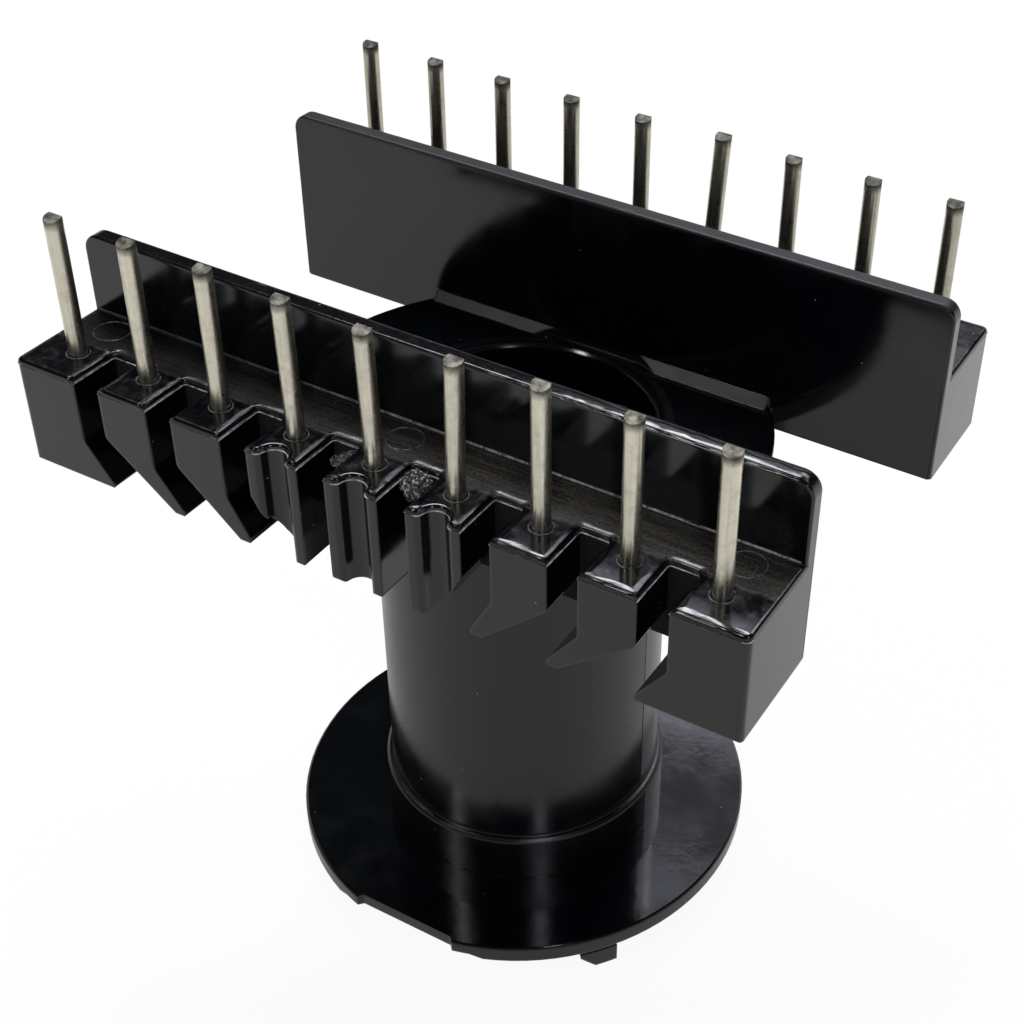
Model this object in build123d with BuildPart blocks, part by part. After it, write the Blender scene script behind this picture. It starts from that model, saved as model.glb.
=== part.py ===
"""Transformer bobbin: a one-piece moulded former with two rows of solder pins.

Millimetres, +Z up. It stands on the feet of its lower flange with the pins on top. The
bore runs along Z through the origin, the pin rows run along X, and z = 0 is the underside
of the feet.
"""
import math
import os

from build123d import *

os.makedirs("parts", exist_ok=True)

# Bore for the core's round leg, and the winding tube round it
bore_diameter = 16.0
bore_lead_in = 0.2
tube_wall = 0.9
collar_step = 0.4
collar_height = 3.5
collar_edge = 0.2
winding_height = 28.4
winding_depth = 6.05

# Round flanges, and the four feet under the lower one
flange_thickness = 1.5
flange_edge = 0.15
flange_foot_edge = 0.35
flat_depth = 0.75
flat_length = 6.6
flat_bevel = 0.65
foot_height = 1.35
foot_depth = 1.6
foot_start_angle = 35.0
foot_end_angle = 44.5
foot_ramp = 1.0

# Pin rails, one on each side of the channel that takes the core's back
rail_depth = 7.3
rail_height = 6.75
rail_end = 2.55
rail_corner = 0.4
channel_margin = 0.8
channel_chamfer = 0.6
mouth_relief = 1.3
wall_thickness = 1.05
wall_height = 4.9
wall_corner = 1.0
wall_edge = 0.2
block_rim = 0.28
face_edge = 0.12

# Wire slots between the pin blocks, bent towards the middle at their feet
slot_width = 1.75
slot_depth = 3.2
slot_ramp = 1.9
slot_bend = 0.5
outer_bend_height = 2.75
inner_bend_height = 3.55
outer_reach = (2.05, 2.10, 1.55)
fin_foot = (0.85, 0.80, 0.65)
fin_tip = 0.3
knee_reach = 1.35
knee_height = 1.2

# Upright notches in the faces of the middle blocks
notched_blocks = 3
notch_radius = 0.8
notch_depth = 1.0
notch_lip = 0.4

# Pins, each with a squared root that holds it in the rail
pin_pitch = 5.0
pins_per_row = 9
pin_setback = 2.2
pin_diameter = 1.0
pin_root_width = 0.7
pin_height = 8.5
pin_bend_height = 1.0
pin_shear_angle = 14.0
pin_burr_angle = 52.0
pin_burr_width = 0.25

# Tip offsets of the pins that were knocked out of line: along the row, and outwards
front_lean = {4: (0.10, 0.25), 5: (0.20, 0.45), 6: (0.45, 0.40)}
rear_lean = {6: (0.20, 0.45)}

# Heights of the main levels
flange_bottom = foot_height
flange_top = flange_bottom + flange_thickness
collar_top = flange_top + collar_height
rail_bottom = flange_top + winding_height
channel_floor = rail_bottom + flange_thickness
shelf = rail_bottom + rail_height
wall_top = shelf + wall_height
pin_top = shelf + pin_height
pin_foot = rail_bottom + inner_bend_height

# Radii round the bore
bore_radius = bore_diameter / 2
tube_radius = bore_radius + tube_wall
collar_radius = tube_radius + collar_step
flange_radius = tube_radius + winding_depth

# Places across the rails and along them
wall_face = bore_radius + channel_margin
wall_back = wall_face + wall_thickness
rail_face = wall_face + rail_depth
slot_back = rail_face - slot_depth
pin_row = rail_face - pin_setback
row_length = pin_pitch * (pins_per_row - 1)
rail_length = row_length + 2 * rail_end
pin_places = [pin_pitch * i - row_length / 2 for i in range(pins_per_row)]
slot_places = [x + pin_pitch / 2 for x in pin_places[:-1]]
first_notch = (pins_per_row - notched_blocks) // 2
notch_places = pin_places[first_notch:first_notch + notched_blocks]
outside = 1.0
near = 0.01


def slot_outline(number):
    """Corners of one wire slot seen from the front, from above the shelf to below the rail."""
    half = len(slot_places) // 2
    side = -1 if number < half else 1
    rank = min(number, len(slot_places) - 1 - number)
    middle = abs(slot_places[number])
    outer = middle + slot_width / 2
    inner = middle - slot_width / 2
    top = shelf + outside
    below = rail_bottom - outside
    points = [(outer, top), (inner, top)]
    if rank < len(outer_reach):
        next_reach = outer_reach[rank + 1] if rank + 1 < len(outer_reach) else 0
        toe = outer - outer_reach[rank]
        foot = outer - pin_pitch - next_reach + fin_foot[rank]
        points.append((inner, rail_bottom + inner_bend_height))
        if rank == len(outer_reach) - 1:
            points.append((inner - knee_reach, rail_bottom + knee_height))
        points += [(foot, rail_bottom), (foot, below), (toe, below), (toe, rail_bottom)]
        points.append((outer, rail_bottom + outer_bend_height))
    else:
        points += [(inner, below), (outer, below)]
    return [(side * x, z) for x, z in points]


# The space in front of a rail that wires pass through, drawn on the +Y rail's face
face_plane = Plane(origin=(0, rail_face, 0), x_dir=(1, 0, 0), z_dir=(0, -1, 0))

with BuildSketch(face_plane) as wire_space:
    for number in range(len(slot_places)):
        with BuildLine():
            Polyline(*slot_outline(number), close=True)
        make_face()
    with Locations((0, rail_bottom)):
        Rectangle(rail_length + 2 * outside, outside, align=(Align.CENTER, Align.MAX))
    toes = wire_space.vertices().filter_by_position(Axis.Y, rail_bottom - near, rail_bottom + near)
    fillet(toes.sort_by(Axis.X)[1:-1], fin_tip)
    bend_low = rail_bottom + outer_bend_height - near
    bend_high = rail_bottom + inner_bend_height + near
    bends = wire_space.vertices().filter_by_position(Axis.Y, bend_low, bend_high)
    fillet(bends, slot_bend)

# The foot of each slot runs back under the rail on a ramp
with BuildPart() as slot_ramps:
    extrude(wire_space.sketch, amount=slot_depth + slot_ramp)
    with BuildSketch(Plane.YZ):
        with BuildLine():
            Polyline(
                (slot_back + near, rail_bottom + slot_ramp),
                (slot_back + near, rail_bottom - outside),
                (slot_back - slot_ramp, rail_bottom - outside),
                (slot_back - slot_ramp, rail_bottom),
                close=True,
            )
        make_face()
    extrude(amount=rail_length, both=True, mode=Mode.INTERSECT)

# Notches for the middle blocks, drawn in plan with rounded lips
with BuildSketch(Plane.XY.offset(rail_bottom)) as notches:
    with Locations(*[(x, rail_face) for x in notch_places]):
        Rectangle(pin_pitch, outside, align=(Align.CENTER, Align.MIN))
    with Locations(*[(x, rail_face - notch_depth + notch_radius) for x in notch_places]):
        Circle(notch_radius)
    mouths = notches.vertices().filter_by_position(Axis.Y, rail_face - near, rail_face + near)
    fillet(mouths.sort_by(Axis.X)[1:-1], notch_lip)

# What comes off the long bottom edge of the rail's face
with BuildPart() as face_chamfer:
    with BuildSketch(Plane.YZ):
        with Locations((rail_face, rail_bottom)):
            Rectangle(face_edge * math.sqrt(2), face_edge * math.sqrt(2), rotation=45)
    extrude(amount=rail_length, both=True)

with BuildPart() as rail:
    with BuildSketch(Plane.YZ):
        with Locations((wall_face, rail_bottom)):
            Rectangle(rail_face - wall_face, rail_height, align=(Align.MIN, Align.MIN))
            Rectangle(wall_thickness, rail_height + wall_height, align=(Align.MIN, Align.MIN))
    extrude(amount=rail_length / 2, both=True)
    fillet(rail.edges().filter_by(Axis.Y).group_by(Axis.Z)[-1], wall_corner)
    chamfer(rail.edges().group_by(Axis.Z)[-1].filter_by(Axis.X), wall_edge)
    fillet(rail.edges().filter_by(Axis.Z).group_by(Axis.Y)[-1], rail_corner)
    extrude(wire_space.sketch, amount=slot_depth, mode=Mode.SUBTRACT)
    add(slot_ramps.part, mode=Mode.SUBTRACT)
    extrude(notches.sketch, amount=rail_height, mode=Mode.SUBTRACT)
    shelf_edges = rail.edges().filter_by_position(Axis.Z, shelf - near, shelf + near)
    rims = shelf_edges.filter_by(
        lambda edge: edge.center().Y > slot_back - near
        and abs(edge.center().X) < rail_length / 2 - near
    )
    chamfer(rims, block_rim)
    add(face_chamfer.part, mode=Mode.SUBTRACT)

# The round parts of the former in section: tube, collar and both flanges
with BuildPart() as bobbin_body:
    with BuildSketch(Plane.XZ) as section:
        with BuildLine():
            Polyline(
                (bore_radius, flange_bottom),
                (flange_radius, flange_bottom),
                (flange_radius, flange_top),
                (collar_radius, flange_top),
                (collar_radius, collar_top),
                (tube_radius, collar_top),
                (tube_radius, rail_bottom),
                (flange_radius, rail_bottom),
                (flange_radius, channel_floor),
                (bore_radius, channel_floor),
                close=True,
            )
        make_face()
        rims = section.vertices().group_by(Axis.X)[-1].sort_by(Axis.Y)
        chamfer(rims[1:], flange_edge)
        chamfer(rims[0], flange_foot_edge)
        chamfer(section.vertices().group_by(Axis.X)[0], bore_lead_in)
        step = section.vertices().filter_by_position(Axis.Y, collar_top - near, collar_top + near)
        chamfer(step.sort_by(Axis.X)[-1], collar_edge)
    revolve(axis=Axis.Z)

    # Flats on the lower flange, set a little into its rim
    with BuildSketch(Plane.XY.offset(flange_bottom)):
        for side in (1, -1):
            with BuildLine():
                Polyline(
                    (-flat_length / 2, side * (flange_radius - flat_depth)),
                    (flat_length / 2, side * (flange_radius - flat_depth)),
                    (flat_length / 2 + 2 * flat_depth, side * (flange_radius + flat_depth)),
                    (-flat_length / 2 - 2 * flat_depth, side * (flange_radius + flat_depth)),
                    close=True,
                )
            make_face()
    extrude(amount=flange_thickness, mode=Mode.SUBTRACT)

    # Bevels under the flats, which run out along the rim
    with BuildSketch(Plane.YZ):
        for side in (1, -1):
            flat = flange_radius - flat_depth
            with BuildLine():
                Polyline(
                    (side * (flat - flat_bevel), flange_bottom),
                    (side * flat, flange_bottom + flat_bevel),
                    (side * (flat + flat_bevel), flange_bottom + flat_bevel),
                    (side * (flat + flat_bevel), flange_bottom),
                    close=True,
                )
            make_face()
    extrude(amount=flange_radius, both=True, mode=Mode.SUBTRACT)

    # The upper flange ends at the backs of the channel walls
    with BuildSketch(Plane.XY.offset(rail_bottom)):
        Rectangle(4 * flange_radius, 4 * flange_radius)
        Rectangle(4 * flange_radius, 2 * wall_back, mode=Mode.SUBTRACT)
    extrude(amount=flange_thickness, mode=Mode.SUBTRACT)

    # Sloping feet of the channel walls, stopped short of the bore's mouth
    with BuildSketch(Plane.YZ):
        for side in (1, -1):
            with BuildLine():
                Polyline(
                    (side * wall_face, channel_floor),
                    (side * wall_face, channel_floor + channel_chamfer),
                    (side * (wall_face - channel_chamfer), channel_floor),
                    close=True,
                )
            make_face()
    extrude(amount=math.sqrt(flange_radius**2 - wall_face**2) - flange_edge, both=True)
    with BuildSketch(Plane.XY.offset(channel_floor)):
        Circle(bore_radius + mouth_relief)
    extrude(amount=channel_chamfer, mode=Mode.SUBTRACT)

    add(rail.part)
    add(mirror(rail.part, about=Plane.XZ, mode=Mode.PRIVATE))

    # Feet
    with BuildSketch(Plane.XY.offset(flange_bottom)):
        Circle(flange_radius - flange_edge)
        Circle(flange_radius - foot_depth, mode=Mode.SUBTRACT)
        with BuildSketch(mode=Mode.INTERSECT):
            for sx, sy in ((1, 1), (1, -1), (-1, 1), (-1, -1)):
                corners = [(0, 0)]
                for angle in (foot_start_angle, foot_end_angle):
                    x = 2 * flange_radius * math.cos(math.radians(angle))
                    y = 2 * flange_radius * math.sin(math.radians(angle))
                    corners.append((sx * x, sy * y))
                with BuildLine():
                    Polyline(*corners, close=True)
                make_face()
    extrude(amount=-foot_height)
    foot_edges = bobbin_body.edges().group_by(Axis.Z)[0].filter_by(GeomType.LINE)
    end_tangent = math.tan(math.radians((foot_start_angle + foot_end_angle) / 2))
    ramp_edges = foot_edges.filter_by(
        lambda edge: abs(edge.center().Y) > abs(edge.center().X) * end_tangent
    )
    chamfer(ramp_edges, foot_ramp)

    # Holes for the roots of the pins
    with BuildSketch(Plane.XY.offset(shelf)):
        with GridLocations(pin_pitch, 2 * pin_row, pins_per_row, 2):
            Rectangle(pin_root_width, pin_root_width)
    extrude(amount=pin_foot - shelf, mode=Mode.SUBTRACT)

bobbin_body.part.label = "bobbin_body"
export_step(bobbin_body.part, "parts/bobbin_body.step")


# Each pin stands on the shelf, may lean from a little above it, and is sheared off at its tip
for row, side, leans in (("front", -1, front_lean), ("rear", 1, rear_lean)):
    for place, x in enumerate(pin_places, start=1):
        y = side * pin_row
        along, outwards = leans.get(place, (0, 0))
        seat = (x, y, shelf)
        bend = (x, y, shelf + pin_bend_height)
        tip = (x + along, y + side * outwards, pin_top)
        end = tuple(2 * t - b for t, b in zip(tip, bend))
        with BuildPart() as pin:
            with BuildLine():
                if place in leans:
                    Polyline(seat, bend, end)
                else:
                    Line(seat, end)
            with BuildSketch(Plane(origin=seat)):
                Circle(pin_diameter / 2)
            sweep(transition=Transition.RIGHT)
            ridge = Plane(origin=(tip[0], tip[1] + pin_diameter / 2 - pin_burr_width, pin_top))
            split(bisect_by=ridge.rotated((pin_shear_angle, 0, 0)), keep=Keep.BOTTOM)
            split(bisect_by=ridge.rotated((-pin_burr_angle, 0, 0)), keep=Keep.BOTTOM)
            with BuildSketch(Plane(origin=seat)):
                Rectangle(pin_root_width, pin_root_width)
            extrude(amount=pin_foot - shelf)
        name = f"{row}_pin_{place}"
        pin.part.label = name
        export_step(pin.part, f"parts/{name}.step")
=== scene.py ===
"""Looks for the transformer bobbin: glossy black moulding and tinned pins in a white studio.

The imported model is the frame. Blender is in metres, and sizes here are in millimetres
times MM. The bore runs along Z and the pin rows run along X.
"""
import math
import random

import bmesh
import bpy
from mathutils import Matrix, Vector


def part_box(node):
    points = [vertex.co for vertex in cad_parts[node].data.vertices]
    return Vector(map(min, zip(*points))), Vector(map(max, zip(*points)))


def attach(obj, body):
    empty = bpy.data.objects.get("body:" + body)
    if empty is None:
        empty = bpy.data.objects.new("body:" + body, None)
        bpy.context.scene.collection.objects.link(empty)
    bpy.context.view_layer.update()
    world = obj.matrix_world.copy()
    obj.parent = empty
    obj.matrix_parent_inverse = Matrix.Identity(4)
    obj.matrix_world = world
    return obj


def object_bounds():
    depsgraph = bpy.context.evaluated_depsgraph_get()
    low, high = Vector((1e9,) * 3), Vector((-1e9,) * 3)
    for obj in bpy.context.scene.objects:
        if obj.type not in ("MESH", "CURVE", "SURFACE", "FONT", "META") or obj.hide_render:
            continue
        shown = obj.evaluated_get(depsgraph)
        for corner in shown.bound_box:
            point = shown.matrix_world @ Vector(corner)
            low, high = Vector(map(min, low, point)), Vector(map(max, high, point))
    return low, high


MM = 0.001
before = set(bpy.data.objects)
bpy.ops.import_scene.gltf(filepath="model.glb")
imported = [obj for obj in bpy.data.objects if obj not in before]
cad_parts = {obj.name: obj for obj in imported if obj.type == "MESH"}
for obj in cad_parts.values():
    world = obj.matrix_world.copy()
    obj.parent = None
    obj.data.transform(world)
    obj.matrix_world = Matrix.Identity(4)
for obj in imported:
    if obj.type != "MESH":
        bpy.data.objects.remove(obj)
cad_low, cad_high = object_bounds()

# Levels and places, from the solids
body_low, body_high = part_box("bobbin_body")
pin_low, pin_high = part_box("front_pin_1")
last_low, last_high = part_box("front_pin_9")
wall_top = body_high.z
shelf = wall_top - 4.9 * MM
rail_face = body_high.y
wall_back = rail_face - 6.25 * MM
wall_face = rail_face - 7.3 * MM
channel_floor = shelf - 5.25 * MM
slot_back = rail_face - 3.2 * MM
rail_bottom = shelf - 6.75 * MM
flange_top = body_low.z + 2.85 * MM
collar_top = flange_top + 3.5 * MM
tube_radius = 8.9 * MM
collar_radius = 9.3 * MM
pin_row = -(pin_low.y + pin_high.y) / 2
first_pin = (pin_low.x + pin_high.x) / 2
pins_per_row = 9
pin_pitch = ((last_low.x + last_high.x) / 2 - first_pin) / (pins_per_row - 1)
notched_blocks = (3, 4, 5)


# Camera, solved from the photograph
def photo_camera():
    right = Vector((0.88336, 0.46638, 0.04647))
    down = Vector((0.31113, -0.50938, -0.80233))
    forward = Vector((-0.35052, 0.7232, -0.59507))
    place = Vector((45.417, -70.686, 90.820)) * MM
    camera = bpy.data.cameras.new("photo_camera")
    camera.sensor_fit = "HORIZONTAL"
    camera.sensor_width = 36.0
    camera.lens = 60.661
    camera.shift_x = -0.1727
    camera.shift_y = -0.0336
    camera.clip_start = 0.005
    camera.clip_end = 20.0
    holder = bpy.data.objects.new("photo_camera", camera)
    turn = Matrix((right, -down, -forward)).transposed()
    holder.matrix_world = Matrix.Translation(place) @ turn.to_4x4()
    bpy.context.scene.collection.objects.link(holder)
    bpy.context.scene.camera = holder


photo_camera()


class Nodes:
    """A node tree that is written as calls, where an input takes a value or another node's output."""

    def __init__(self, tree):
        self.tree = tree
        self.tree.nodes.clear()

    def add(self, kind, inputs=None, **settings):
        node = self.tree.nodes.new(kind)
        for name, value in settings.items():
            setattr(node, name, value)
        for name, value in (inputs or {}).items():
            if isinstance(value, bpy.types.NodeSocket):
                self.tree.links.new(value, node.inputs[name])
            else:
                node.inputs[name].default_value = value
        return node

    def math(self, operation, a, b=0.0, clamp=False):
        node = self.add("ShaderNodeMath", {0: a, 1: b}, operation=operation, use_clamp=clamp)
        return node.outputs[0]

    def product(self, first, *factors):
        """All the values multiplied, as shares that hold together."""
        total = first
        for factor in factors:
            total = self.math("MULTIPLY", total, factor)
        return total

    def band(self, value, low, high, soft):
        """1 between low and high and 0 outside, with soft edges."""
        rise = self.ramp(value, low - soft, low + soft)
        fall = self.ramp(value, high - soft, high + soft)
        return self.math("SUBTRACT", rise, fall, clamp=True)

    def ramp(self, value, start, end, low=0.0, high=1.0):
        """From low at start to high at end, and level beyond them."""
        inputs = {"Value": value, "From Min": start, "From Max": end, "To Min": low, "To Max": high}
        return self.add("ShaderNodeMapRange", inputs, clamp=True).outputs["Result"]

    def blend(self, factor, a, b):
        node = self.add("ShaderNodeMix", data_type="RGBA")
        colours = [socket for socket in node.inputs if socket.type == "RGBA"]
        for socket, value in ((node.inputs[0], factor), (colours[0], a), (colours[1], b)):
            if isinstance(value, bpy.types.NodeSocket):
                self.tree.links.new(value, socket)
            else:
                socket.default_value = value
        return [socket for socket in node.outputs if socket.type == "RGBA"][0]

    def mixed_normal(self, factor, a, b):
        node = self.add("ShaderNodeMix", data_type="VECTOR")
        vectors = [socket for socket in node.inputs if socket.type == "VECTOR"]
        for socket, value in ((node.inputs[0], factor), (vectors[-2], a), (vectors[-1], b)):
            self.tree.links.new(value, socket)
        return [socket for socket in node.outputs if socket.type == "VECTOR"][0]

    def noise(self, vector, scale, detail, rough):
        inputs = {"Vector": vector, "Scale": scale, "Detail": detail, "Roughness": rough}
        return self.add("ShaderNodeTexNoise", inputs).outputs[0]

    def stretch(self, vector, scale, turn=(0, 0, 0)):
        inputs = {"Vector": vector, "Scale": scale, "Rotation": turn}
        return self.add("ShaderNodeMapping", inputs).outputs[0]

    def bump(self, height, strength, distance, normal=None):
        inputs = {"Strength": strength, "Distance": distance, "Height": height}
        if normal is not None:
            inputs["Normal"] = normal
        return self.add("ShaderNodeBump", inputs).outputs[0]

    def surface(self, inputs):
        shader = self.add("ShaderNodeBsdfPrincipled", inputs)
        self.add("ShaderNodeOutputMaterial", {0: shader.outputs[0]})


def new_material(name):
    material = bpy.data.materials.new(name)
    material.use_nodes = True
    return material, Nodes(material.node_tree)


# Moulding: black phenolic, glossy where the mould was polished and dull on the shelf
class MouldingSkin:
    """Places, noises and zones of the moulding's surface, and the inputs of its shader."""

    def __init__(self, net):
        self.net = net
        self.place = net.add("ShaderNodeTexCoord").outputs["Object"]
        self.x, self.y, self.z = net.add("ShaderNodeSeparateXYZ", {0: self.place}).outputs
        self.across = net.math("ABSOLUTE", self.y)
        squares = net.math("ADD", net.product(self.x, self.x), net.product(self.y, self.y))
        self.radius = net.math("SQRT", squares)
        self.cloud = net.noise(self.place, 420.0, 4.0, 0.55)
        self.grain = net.noise(self.place, 6000.0, 2.0, 0.6)
        self.smudges = net.noise(self.place, 1300.0, 4.0, 0.65)
        self.streaks = net.noise(net.stretch(self.place, (250.0, 9000.0, 250.0)), 1.0, 3.0, 0.7)
        self.find_flat_zones()
        self.find_upright_zones()
        self.scratch = self.scratches()

    def find_flat_zones(self):
        net, y, z, across = self.net, self.y, self.z, self.across
        self.on_flange = net.math("LESS_THAN", z, flange_top + 0.05 * MM)
        on_shelf = net.band(z, shelf - 0.03 * MM, shelf + 0.03 * MM, 0.02 * MM)
        behind_pins = net.band(across, wall_back - 0.2 * MM, slot_back + 0.1 * MM, 0.12 * MM)
        self.dull_shelf = net.product(on_shelf, behind_pins)
        self.block_tops = net.product(on_shelf, net.math("GREATER_THAN", across, slot_back))
        self.wall_tops = net.ramp(z, wall_top - 0.25 * MM, wall_top - 0.05 * MM)
        rear_rim = net.ramp(z, wall_top - 0.35 * MM, wall_top - 0.2 * MM)
        self.rear_top = net.product(rear_rim, net.math("GREATER_THAN", y, 0.0))
        near_floor = net.band(z, channel_floor + 0.04 * MM, channel_floor + 0.58 * MM, 0.03 * MM)
        in_channel = net.math("LESS_THAN", across, wall_face - 0.01 * MM)
        self.foot_strips = net.product(near_floor, in_channel)

    def find_upright_zones(self):
        net, z, across, radius = self.net, self.z, self.across, self.radius
        self.on_tube = net.band(radius, tube_radius - 0.4 * MM, tube_radius + 0.1 * MM, 0.02 * MM)
        round_collar = net.band(radius, collar_radius - 0.25 * MM, collar_radius + 0.1 * MM, 0.02 * MM)
        collar_height = net.band(z, flange_top + 0.05 * MM, collar_top + 0.15 * MM, 0.02 * MM)
        self.on_collar = net.product(round_collar, collar_height)
        inside_ends = net.math("LESS_THAN", net.math("ABSOLUTE", self.x), 0.5 * MM - first_pin)
        on_rails = net.math("GREATER_THAN", z, rail_bottom - 0.25 * MM)
        self.between_ends = net.product(inside_ends, on_rails)
        slot_backs = net.band(across, slot_back - 0.04 * MM, slot_back + 0.04 * MM, 0.01 * MM)
        under_rims = net.math("LESS_THAN", z, shelf - 0.3 * MM)
        self.slot_backs = net.product(slot_backs, under_rims, self.between_ends)

    def roughness(self):
        net = self.net
        rough = net.ramp(self.cloud, 0.3, 0.7, 0.09, 0.17)
        for zone, amount in ((self.on_flange, -0.04),
                             (self.dull_shelf, 0.13),
                             (self.slot_backs, 0.8),
                             (self.on_tube, 0.07),
                             (self.on_collar, 0.14),
                             (self.foot_strips, 0.3),
                             (self.block_tops, net.ramp(self.smudges, 0.4, 0.65, 0.0, 0.16)),
                             (self.wall_tops, net.ramp(self.grain, 0.3, 0.7, 0.0, 0.1)),
                             (self.rear_top, 0.3)):
            rough = net.math("ADD", rough, net.product(zone, amount))
        return rough

    def dust(self):
        net = self.net
        cells = net.add("ShaderNodeTexVoronoi", {"Vector": self.place, "Scale": 900.0})
        specks = net.math("LESS_THAN", cells.outputs["Distance"], 0.045)
        chance = net.add("ShaderNodeSeparateColor", {0: cells.outputs["Color"]}).outputs[0]
        return net.product(specks, net.math("GREATER_THAN", chance, 0.72))

    def scratches(self):
        net = self.net
        stretched = net.stretch(self.place, (300.0, 5200.0, 5200.0), (0.15, 0.1, 0.35))
        lines = net.noise(stretched, 1.0, 2.0, 0.5)
        return net.product(net.ramp(lines, 0.72, 0.76), self.wall_tops)

    def colour(self):
        net = self.net
        mottle = net.math("ADD", net.product(self.streaks, 0.6), net.product(self.grain, 0.4))
        # The brown mottle on the dull shelf is partly real wear and partly painted light, faded towards
        # the left where less light falls.
        lit_to_right = net.ramp(self.x, -14 * MM, 6 * MM, 0.25, 1.0)
        worn_and_lit = net.product(self.dull_shelf, net.ramp(mottle, 0.42, 0.6), lit_to_right)
        # A light grey band just under the rims on the block faces: a painted highlight line along the
        # rim's lower edge.
        highlight_under_rim = net.product(
            net.band(self.z, shelf - 0.36 * MM, shelf - 0.29 * MM, 0.015 * MM),
            net.math("GREATER_THAN", self.across, slot_back - 0.01 * MM),
            net.ramp(self.cloud, 0.4, 0.6, 0.2, 1.0))
        colour = (0.0011, 0.0017, 0.0026, 1.0)
        for share, tint in ((worn_and_lit, (0.052, 0.046, 0.037, 1.0)),
                            (highlight_under_rim, (0.06, 0.06, 0.06, 1.0)),
                            (net.product(self.scratch, 0.5), (0.25, 0.25, 0.27, 1.0)),
                            (net.product(self.dust(), 0.5), (0.4, 0.4, 0.4, 1.0))):
            colour = net.blend(share, colour, tint)
        return colour

    def rounded_normal(self):
        """Bevelled edges, apart from those that have rolled edges of their own."""
        net = self.net
        rounded = net.add("ShaderNodeBevel", {"Radius": 0.2 * MM}, samples=6).outputs[0]
        plain = net.add("ShaderNodeNewGeometry").outputs["Normal"]
        near_rims = net.ramp(self.z, shelf - 0.45 * MM, shelf - 0.3 * MM)
        near_foot = net.band(self.z, flange_top - 0.05 * MM, flange_top + 0.05 * MM, 0.02 * MM)
        near_back = net.band(self.across, slot_back - 0.05 * MM, slot_back + 0.3 * MM, 0.02 * MM)
        near_back = net.product(near_back, self.between_ends)
        unrounded = net.math("MAXIMUM", net.math("MAXIMUM", near_rims, near_foot), near_back)
        return net.mixed_normal(unrounded, rounded, plain)

    def edge_fall(self):
        """How far the flat tops fall away towards their rolled edges, on uneven lines."""
        net, x, across = self.net, self.x, self.across
        wobble = net.ramp(net.noise(self.place, 650.0, 1.0, 0.4), 0.3, 0.7, -0.1 * MM, 0.1 * MM)
        uneven_across = net.math("ADD", across, wobble)

        middle = (wall_face + wall_back) / 2
        from_middle = net.math("ABSOLUTE", net.math("SUBTRACT", across, middle))
        to_side = net.math("ADD", from_middle, wobble)
        on_front_wall = net.math("LESS_THAN", self.y, 0.0)
        wall_bend = net.product(net.ramp(to_side, 0.04 * MM, 0.5 * MM), self.wall_tops,
                                on_front_wall, net.ramp(x, -5 * MM, 13 * MM, 0.15, 1.0))

        from_pin = net.math("PINGPONG", net.math("SUBTRACT", x, first_pin), pin_pitch / 2)
        side_bend = net.product(
            net.ramp(net.math("ADD", from_pin, wobble), 1.14 * MM, 1.62 * MM),
            net.math("GREATER_THAN", across, slot_back), self.between_ends)
        front_bend = net.product(
            net.ramp(uneven_across, rail_face - 0.52 * MM, rail_face - 0.05 * MM),
            net.ramp(x, -16 * MM, 4 * MM, 0.1, 1.0))
        back_bend = net.product(
            net.ramp(uneven_across, slot_back - 0.46 * MM, slot_back),
            net.ramp(from_pin, 1.4 * MM, 1.75 * MM), self.between_ends)
        block_bend = net.math("MAXIMUM", net.math("MAXIMUM", side_bend, front_bend), back_bend)
        near_top = net.band(self.z, shelf - 0.2 * MM, shelf + 0.1 * MM, 0.02 * MM)

        bend = net.math("MAXIMUM", wall_bend, net.product(block_bend, near_top))
        return net.product(net.math("POWER", bend, 1.5), -1.0)

    def normal(self):
        net = self.net
        waviness = net.math("ADD", net.product(self.on_flange, 1.2), 0.5)
        waves = net.bump(net.product(self.cloud, waviness), 0.04, 0.2 * MM, self.rounded_normal())
        lay = net.product(net.math("ADD", self.streaks, self.grain), self.dull_shelf)
        marks = net.math("ADD", lay, net.product(self.scratch, 0.6))
        marks = net.math("ADD", marks, net.product(self.smudges, self.block_tops, 2.0))
        skin = net.bump(marks, 0.25, 0.012 * MM, waves)
        return net.bump(self.edge_fall(), 1.0, 0.115 * MM, skin)


def black_moulding():
    material, net = new_material("black_moulding")
    skin = MouldingSkin(net)
    net.surface({"Base Color": skin.colour(), "Roughness": skin.roughness(), "IOR": 1.55,
                 "Normal": skin.normal()})
    return material


# Torn moulding: the same black, rough and glittering where it broke, with pale flecks that are partly
# stress-whitening and partly painted glints
def torn_moulding():
    material, net = new_material("torn_moulding")
    place = net.add("ShaderNodeTexCoord").outputs["Object"]
    x = net.add("ShaderNodeSeparateXYZ", {0: place}).outputs[0]
    chips = net.add("ShaderNodeTexVoronoi", {"Vector": place, "Scale": 5200.0}).outputs["Distance"]
    cloud = net.noise(place, 3200.0, 4.0, 0.7)
    fine = net.noise(place, 5200.0, 2.0, 0.5)
    # Pale flecks: partly stress-whitened tear and partly painted glints, fewer on the flake at the left.
    pale_and_glint_flecks = net.product(net.ramp(fine, 0.56, 0.62), net.ramp(x, -1 * MM, 1 * MM, 0.2, 1.0))
    colour = net.blend(net.ramp(cloud, 0.4, 0.7), (0.004, 0.0045, 0.005, 1.0), (0.05, 0.049, 0.045, 1.0))
    colour = net.blend(pale_and_glint_flecks, colour, (0.42, 0.41, 0.39, 1.0))
    net.surface({"Base Color": colour, "Roughness": net.ramp(cloud, 0.35, 0.65, 0.06, 0.22), "IOR": 1.55,
                 "Normal": net.bump(net.math("ADD", chips, cloud), 1.0, 0.16 * MM)})
    return material
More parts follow.
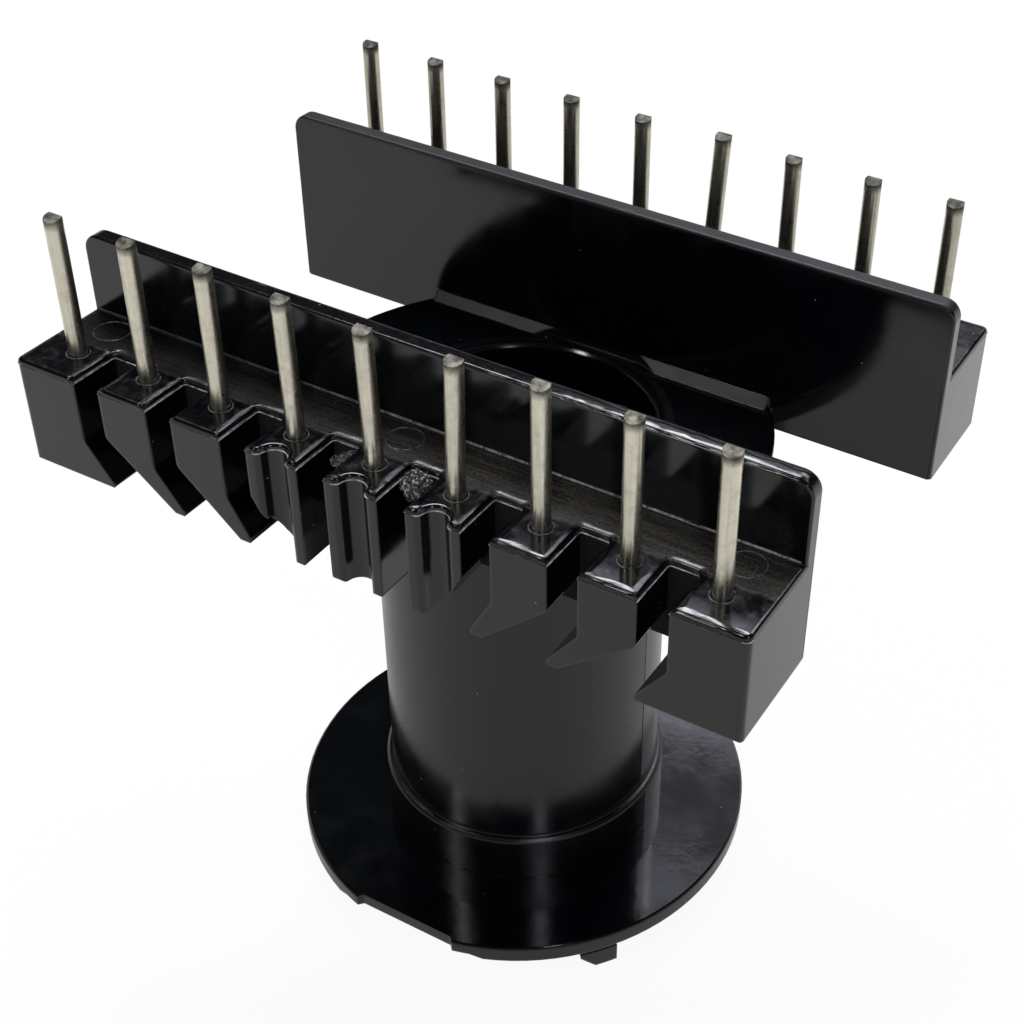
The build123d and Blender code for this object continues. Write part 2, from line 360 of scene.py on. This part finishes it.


# Flash: thin raised lines of the same moulding, painted light grey in noisy patches as highlights along
# them
def flash_with_painted_highlight(name, dark, light, left_share=1.0, lowest=0.0):
    """Painted highlight from dark to light grey, weaker at the left end by the given share, brighter to
    the right, and none below lowest.
    """
    material, net = new_material(name)
    place = net.add("ShaderNodeTexCoord").outputs["Object"]
    x, _, z = net.add("ShaderNodeSeparateXYZ", {0: place}).outputs
    wear_and_glint = net.noise(place, 2600.0, 3.0, 0.6)
    lit_to_right = net.ramp(x, -12 * MM, 8 * MM, left_share, 1.0)
    shown = net.product(net.ramp(wear_and_glint, 0.35, 0.7), lit_to_right, net.math("GREATER_THAN", z, lowest))
    colour = net.blend(shown, (dark, dark, dark, 1.0), (light, light, light, 1.0))
    net.surface({"Base Color": colour, "Roughness": net.ramp(wear_and_glint, 0.3, 0.7, 0.18, 0.4), "IOR": 1.55,
                 "Normal": net.bump(wear_and_glint, 0.4, 0.01 * MM)})
    return material


# Wire: tinned, with drawn streaks, blotches and darker sheared tips, and the rear row painted darker as
# shade
def tinned_wire():
    material, net = new_material("tinned_wire")
    place = net.add("ShaderNodeTexCoord").outputs["Object"]
    y, z = net.add("ShaderNodeSeparateXYZ", {0: place}).outputs[1:3]
    drawn = net.noise(net.stretch(place, (5200.0, 5200.0, 160.0)), 1.0, 3.0, 0.6)
    blotch = net.noise(place, 1700.0, 4.0, 0.65)
    pits = net.noise(place, 5200.0, 2.0, 0.5)
    tip = net.ramp(z, cad_high.z - 0.75 * MM, cad_high.z - 0.25 * MM)

    colour = (0.80, 0.76, 0.63, 1.0)
    for share, tint in (
            (net.ramp(drawn, 0.35, 0.7), (0.62, 0.59, 0.48, 1.0)),
            (net.product(net.ramp(blotch, 0.5, 0.75), 0.6), (0.42, 0.39, 0.31, 1.0)),
            (net.ramp(pits, 0.7, 0.76, 0.0, 0.5), (0.2, 0.18, 0.15, 1.0)),
            # The rear row is painted darker: painted shade on the same tin as the front row.
            (net.ramp(y, -5 * MM, 5 * MM, 0.0, 0.5), (0.17, 0.165, 0.13, 1.0)),
            (net.product(tip, net.ramp(blotch, 0.35, 0.6, 0.7, 0.95)), (0.045, 0.044, 0.037, 1.0))):
        colour = net.blend(share, colour, tint)
    rough = net.math("ADD", net.ramp(blotch, 0.3, 0.75, 0.24, 0.38), net.product(tip, 0.3))
    height = net.math("ADD", drawn, net.product(pits, 0.3))
    net.surface({"Base Color": colour, "Roughness": rough, "Metallic": 1.0,
                 "Normal": net.bump(height, 0.2, 0.006 * MM)})
    return material


def dress(obj, material):
    obj.data.materials.clear()
    obj.data.materials.append(material)


moulding = black_moulding()
wire = tinned_wire()
torn = torn_moulding()
# The flash lines on the pin rings, rims, ejector circles and wall feet are painted light grey as
# highlights along them, lit more towards the right.
flash = flash_with_painted_highlight("flash_with_painted_highlight", 0.015, 0.17)
highlight_flash = flash_with_painted_highlight("highlight_flash", 0.1, 0.8)
faint_highlight_flash = flash_with_painted_highlight("faint_highlight_flash", 0.015, 0.15)
foot_highlight_flash = flash_with_painted_highlight("foot_highlight_flash", 0.01, 0.5, left_share=0.06, lowest=shelf + 0.04 * MM)
for name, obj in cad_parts.items():
    dress(obj, moulding if name == "bobbin_body" else wire)


def add_piece(name, bm, material, smooth=True):
    """A mesh piece that rides on the body."""
    bmesh.ops.recalc_face_normals(bm, faces=bm.faces)
    for face in bm.faces:
        face.smooth = smooth
    mesh = bpy.data.meshes.new(name)
    bm.to_mesh(mesh)
    bm.free()
    mesh.materials.append(material)
    piece = bpy.data.objects.new(name, mesh)
    bpy.context.scene.collection.objects.link(piece)
    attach(piece, "root")


def ring_on(bm, centre, radius, width, height, steps=40):
    """A low rounded ridge round a centre on a flat surface, its underside sunk in it."""
    section = [(-0.5, -0.4), (-0.42, 0.2), (-0.2, 0.75), (0, 1), (0.2, 0.75), (0.42, 0.2), (0.5, -0.4)]
    loops = []
    for step in range(steps):
        angle = 2 * math.pi * step / steps
        heading = Vector((math.cos(angle), math.sin(angle), 0))
        loop = []
        for out, up in section:
            place = centre + heading * (radius + out * width) + Vector((0, 0, up * height))
            loop.append(bm.verts.new(place))
        loops.append(loop)
    for step in range(steps):
        here = loops[step]
        there = loops[(step + 1) % steps]
        for i in range(len(section)):
            j = (i + 1) % len(section)
            bm.faces.new((here[i], there[i], there[j], here[j]))


def swept(bm, stops, section):
    """Sweeps a closed section of insets and heights along stops, each a point with its outward
    and upward directions and a swell."""
    loops = []
    for point, out, up, swell in stops:
        offsets = [up * (height * swell) - out * (inset * swell) for inset, height in section]
        loops.append([bm.verts.new(point + offset * MM) for offset in offsets])
    for here, there in zip(loops, loops[1:]):
        for i in range(len(section)):
            j = (i + 1) % len(section)
            bm.faces.new((here[i], here[j], there[j], there[i]))
    bm.faces.new(loops[0])
    bm.faces.new(loops[-1])


def arc(centre_x, centre_y, radius, start, end, steps=6):
    angles = [math.radians(start + (end - start) * i / steps) for i in range(steps + 1)]
    return [Vector((centre_x + radius * math.cos(a), centre_y + radius * math.sin(a))) for a in angles]


def sampled(corners, step, seed, unevenness):
    """Stops along a line of corners: place, mitred normal on its left, and an uneven swell near 1.

    Each swell keeps a share of the one before, so the edge swells and thins slowly."""
    margin = 0.07 * MM
    shortest = 1e-7
    kept_share = 0.7
    places = []
    for here, there in zip(corners, corners[1:]):
        length = (there - here).length
        if length < shortest:
            continue
        along = (there - here) / length
        places.append(here)
        if length > 4 * margin:
            count = max(1, round((length - 2 * margin) / step))
            for i in range(count + 1):
                places.append(here + along * (margin + (length - 2 * margin) * i / count))
    places.append(corners[-1])
    normals = []
    for here, there in zip(places, places[1:]):
        along = (there - here).normalized()
        normals.append(Vector((-along.y, along.x)))
    chance = random.Random(seed)
    swell = 1.0
    stops = []
    for i, place in enumerate(places):
        before = normals[max(0, i - 1)]
        after = normals[min(i, len(normals) - 1)]
        mitre = (before + after) / (1 + before.dot(after))
        swell = 1 + kept_share * (swell - 1) + chance.uniform(-unevenness, unevenness)
        stops.append((place, mitre, swell))
    return stops


# Rolled edges: a section starts on the top, bends down and ends in the side
def roll(size):
    bend = [(1.15, -0.03), (1.0, 0.012), (0.8, 0.0), (0.6, -0.035), (0.42, -0.1), (0.27, -0.19),
            (0.15, -0.31), (0.06, -0.47), (0.01, -0.66), (-0.004, -0.85), (-0.004, -1.0),
            (0.05, -1.15), (0.8, -0.9)]
    return [(inset * size, height * size) for inset, height in bend]


def notch(x):
    """Outline of one notch in a block's face, with its rounded lips."""
    radius = 0.8 * MM
    lip_radius = 0.4 * MM
    lip_reach = 1.1832 * MM
    meeting = 9.6
    lip_line = rail_face - lip_radius
    points = arc(x - lip_reach, lip_line, lip_radius, 90, meeting)
    points += arc(x, rail_face - 0.2 * MM, radius, 180 + meeting, 360 - meeting, 14)
    return points + arc(x + lip_reach, lip_line, lip_radius, 180 - meeting, 90)


def rim_outline():
    """Outer edge of the blocks' tops in plan, from one end of a rail to the other."""
    end = body_high.x
    corner = 0.4 * MM
    bend = 0.2 * MM
    half_slot = 0.875 * MM
    points = [Vector((-end, wall_back - 0.1 * MM))]
    points += arc(corner - end, rail_face - corner, corner, 180, 90)
    for number in range(pins_per_row):
        x = first_pin + number * pin_pitch
        if number in notched_blocks:
            points += notch(x)
        if number < pins_per_row - 1:
            left = x + pin_pitch / 2 - half_slot
            right = x + pin_pitch / 2 + half_slot
            points.append(Vector((left, rail_face)))
            points += arc(left + bend, slot_back + bend, bend, 180, 270, 4)
            points += arc(right - bend, slot_back + bend, bend, 270, 360, 4)
            points.append(Vector((right, rail_face)))
    points += arc(end - corner, rail_face - corner, corner, 90, 0)
    return points + [Vector((end, wall_back - 0.1 * MM))]


def block_rims():
    rims = bmesh.new()
    lines = bmesh.new()
    line = [(0.02, -0.25), (-0.03, -0.27), (-0.05, -0.3), (-0.03, -0.33), (0.02, -0.35)]
    size = 0.28
    step = 0.3 * MM
    unevenness = 0.04
    up = Vector((0, 0, 1))
    for side in (-1, 1):
        stops = []
        for place, mitre, swell in sampled(rim_outline(), step, 40 + side, unevenness):
            point = Vector((place.x, side * place.y, shelf))
            stops.append((point, Vector((mitre.x, side * mitre.y, 0)), up, swell))
        swept(rims, stops, roll(size))
        swept(lines, [(point, out, up, 1.0) for point, out, up, swell in stops], line)
    for vert in lines.verts:
        vert.co.x = max(-body_high.x, min(body_high.x, vert.co.x))
        vert.co.y = max(-rail_face, min(rail_face, vert.co.y))
    add_piece("block_rims", rims, moulding)
    add_piece("rim_flash", lines, highlight_flash)


def wall_rims():
    bm = bmesh.new()
    end = body_high.x
    corner = 1.0 * MM
    size = 0.2
    step = 0.4 * MM
    unevenness = 0.04
    for side in (-1, 1):
        for face, foot, heading in ((wall_back, shelf - 0.05 * MM, 1),
                                    (wall_face, rail_bottom + 0.05 * MM, -1)):
            corners = [Vector((-end, foot))]
            corners += arc(corner - end, wall_top - corner, corner, 180, 90, 10)
            corners += arc(end - corner, wall_top - corner, corner, 90, 0, 10)
            corners.append(Vector((end, foot)))
            out = Vector((0, side * heading, 0))
            stops = []
            for place, mitre, swell in sampled(corners, step, 60 + side * heading, unevenness):
                point = Vector((place.x, side * face, place.y))
                stops.append((point, out, Vector((mitre.x, 0, mitre.y)), swell))
            swept(bm, stops, roll(size))
    add_piece("wall_rims", bm, moulding)


# Small hollow bend where each wall stands on its shelf
def wall_feet():
    bm = bmesh.new()
    bend = [(-0.16, -0.01), (-0.14, 0.003), (-0.1, 0.008), (-0.065, 0.025), (-0.035, 0.05),
            (-0.012, 0.09), (-0.003, 0.14), (0.01, 0.16), (0.03, -0.03)]
    reach = body_high.x - 0.3 * MM
    step = 0.5 * MM
    unevenness = 0.06
    up = Vector((0, 0, 1))
    for side in (-1, 1):
        stops = []
        line = [Vector((-reach, 0)), Vector((reach, 0))]
        for place, mitre, swell in sampled(line, step, 80 + side, unevenness):
            stops.append((Vector((place.x, side * wall_back, shelf)), Vector((0, side, 0)), up, swell))
        swept(bm, stops, bend)
    add_piece("wall_feet", bm, foot_highlight_flash)


# Low rings where the moulding meets each pin
def pin_rings():
    bm = bmesh.new()
    for side in (-1, 1):
        for number in range(pins_per_row):
            x = first_pin + number * pin_pitch
            centre = Vector((x, side * pin_row, shelf))
            ring_on(bm, centre, radius=0.64 * MM, width=0.1 * MM, height=0.06 * MM)
    add_piece("pin_rings", bm, flash)


# Circles left by the ejector pins on the shelves
def ejector_circles():
    bm = bmesh.new()
    for side in (-1, 1):
        for x in (first_pin, 0, -first_pin):
            centre = Vector((x, side * (wall_back + 1.4 * MM), shelf))
            ring_on(bm, centre, radius=1.02 * MM, width=0.08 * MM, height=0.05 * MM, steps=64)
    add_piece("ejector_circles", bm, faint_highlight_flash)


# Fine lines down the winding tube where the halves of the mould met
def parting_lines():
    bm = bmesh.new()
    section = [(-0.07, -0.03), (-0.04, 0.008), (0, 0.018), (0.04, 0.008), (0.07, -0.03)]
    for side in (-1, 1):
        ends = []
        for z in (collar_top, rail_bottom):
            ends.append([bm.verts.new((side * (tube_radius + out * MM), along * MM, z))
                         for along, out in section])
        low, high = ends
        for i in range(len(section)):
            j = (i + 1) % len(section)
            bm.faces.new((low[i], low[j], high[j], high[i]))
        bm.faces.new(low)
        bm.faces.new(high)
    add_piece("parting_lines", bm, moulding)


def lump(bm, centre, size, seed, knobs=9, depth=0.3):
    """A torn, faceted lump: a round mesh whose points are pushed out at random knobs."""
    chance = random.Random(seed)
    grit = 0.06
    made = bmesh.ops.create_icosphere(bm, subdivisions=3, radius=1.0)["verts"]
    points = []
    for _ in range(knobs):
        aim = Vector([chance.uniform(-1, 1) for _ in range(3)]).normalized()
        points.append((aim, chance.uniform(0.35, 0.75), chance.uniform(-depth, depth)))
    for vert in made:
        ray = vert.co.normalized()
        push = sum(gain * max(0.0, 1 - (ray - aim).length / reach) for aim, reach, gain in points)
        push += chance.uniform(-grit, grit)
        vert.co = centre + Vector([c * s * MM for c, s in zip(ray * (1 + push), size)])


# Torn gate left in the middle of the front rail, and a flake of flash beside it
def gate_vestige():
    bm = bmesh.new()
    lump(bm, Vector((2.45 * MM, -13.75 * MM, shelf - 0.3 * MM)), (0.8, 0.85, 0.42), seed=11)
    lump(bm, Vector((2.8 * MM, -14.5 * MM, shelf - 0.35 * MM)), (0.5, 0.5, 0.36), seed=5)
    lump(bm, Vector((3.15 * MM, -12.85 * MM, shelf - 0.02 * MM)), (0.17, 0.15, 0.12), seed=3)
    add_piece("gate_vestige", bm, torn, smooth=False)


def flash_flake():
    bm = bmesh.new()
    flat = Vector((-1.95 * MM, -14.1 * MM, shelf - 0.3 * MM))
    lump(bm, flat, (0.52, 0.72, 0.08), seed=21, knobs=7, depth=0.4)
    crest = Vector((-1.75 * MM, -13.6 * MM, shelf - 0.22 * MM))
    lump(bm, crest, (0.3, 0.4, 0.12), seed=8, knobs=6, depth=0.35)
    add_piece("flash_flake", bm, torn, smooth=False)


block_rims()
wall_rims()
wall_feet()
pin_rings()
ejector_circles()
parting_lines()
gate_vestige()
flash_flake()


# Floor, white to the camera, nearly white in reflections, with a faint shadow
def white_floor():
    material, net = new_material("white_floor")
    paths = net.add("ShaderNodeLightPath")
    place = net.add("ShaderNodeTexCoord").outputs["Object"]
    away = net.add("ShaderNodeVectorMath", {0: place}, operation="LENGTH").outputs["Value"]
    # Reflections see the floor dimmer near the part, a painted shadow, and a little brighter towards the
    # back.
    back = net.ramp(net.add("ShaderNodeSeparateXYZ", {0: place}).outputs[1], -10 * MM, 30 * MM, 0.0, 0.16)
    strength = net.math("ADD", back, net.ramp(away, 20 * MM, 80 * MM, 0.5, 0.76))
    strength = net.math("MAXIMUM", strength, paths.outputs["Is Camera Ray"])
    glow = net.add("ShaderNodeEmission", {"Color": (1.0, 1.0, 1.0, 1.0), "Strength": strength})
    diffuse = net.add("ShaderNodeBsdfDiffuse", {"Color": (1.0, 1.0, 1.0, 1.0)})
    share = net.product(paths.outputs["Is Camera Ray"], 0.07)
    mix = net.add("ShaderNodeMixShader", {0: share, 1: glow.outputs[0], 2: diffuse.outputs[0]})
    net.add("ShaderNodeOutputMaterial", {0: mix.outputs[0]})
    mesh = bpy.data.meshes.new("floor")
    reach = 1.5
    corners = [(-reach, -reach, 0), (reach, -reach, 0), (reach, reach, 0), (-reach, reach, 0)]
    mesh.from_pydata(corners, [], [(0, 1, 2, 3)])
    mesh.materials.append(material)
    floor = bpy.data.objects.new("floor", mesh)
    bpy.context.scene.collection.objects.link(floor)


# Surroundings: white to the camera, pale for diffuse light, darker above the horizon in gloss
def studio_world():
    world = bpy.data.worlds.new("studio")
    bpy.context.scene.world = world
    world.use_nodes = True
    world.cycles.sampling_method = "NONE"
    net = Nodes(world.node_tree)
    paths = net.add("ShaderNodeLightPath")
    direction = net.add("ShaderNodeTexCoord").outputs["Generated"]
    height = net.add("ShaderNodeSeparateXYZ", {0: direction}).outputs[2]
    gloss = net.ramp(height, 0.03, 0.3, 0.75, 0.035)
    strength = net.product(gloss, paths.outputs["Is Glossy Ray"])
    strength = net.math("ADD", strength, net.product(paths.outputs["Is Diffuse Ray"], 0.25))
    strength = net.math("ADD", strength, paths.outputs["Is Camera Ray"])
    back = net.add("ShaderNodeBackground", {"Color": (0.97, 0.985, 1.0, 1.0), "Strength": strength})
    net.add("ShaderNodeOutputWorld", {0: back.outputs[0]})


def softbox(name, azimuth, elevation, width, height, strength, colour):
    """A lamp that faces the part, with its direction and its size in degrees as seen from there."""
    distance = 0.9
    angle = math.radians(azimuth)
    lift = math.radians(elevation)
    aim = Vector((0, 0, 30 * MM))
    away = Vector((math.cos(angle) * math.cos(lift), math.sin(angle) * math.cos(lift), math.sin(lift)))
    light = bpy.data.lights.new(name, "AREA")
    light.shape = "RECTANGLE"
    light.size = 2 * distance * math.tan(math.radians(width) / 2)
    light.size_y = 2 * distance * math.tan(math.radians(height) / 2)
    light.energy = strength * math.pi * light.size * light.size_y
    light.color = colour
    holder = bpy.data.objects.new(name, light)
    holder.location = aim + away * distance
    holder.rotation_euler = away.to_track_quat("Z", "Y").to_euler()
    holder.visible_camera = False
    bpy.context.scene.collection.objects.link(holder)


white_floor()
studio_world()

# Each lamp: azimuth, elevation, width and height in degrees, then strength and colour
softbox("softbox_back", 103, 46, 27, 34, 0.5, (0.9, 0.88, 1.0))
softbox("window_back", 105, 41, 24, 6, 2.4, (0.84, 0.85, 1.0))
softbox("panel_back", 103, 55, 27, 13, 1.0, (0.8, 0.81, 1.0))
softbox("lamp_over", 138, 63, 26, 11, 20.0, (0.94, 0.94, 1.0))
softbox("lamp_side", 84, 48, 28, 16, 4.5, (0.93, 0.94, 1.0))
softbox("lamp_front_left", 241, 48, 6, 12, 16.0, (1.0, 0.97, 0.93))
softbox("lamp_front_right", 314, 48, 6, 14, 16.0, (0.9, 0.9, 1.0))

bpy.context.scene.view_settings.view_transform = "Standard"
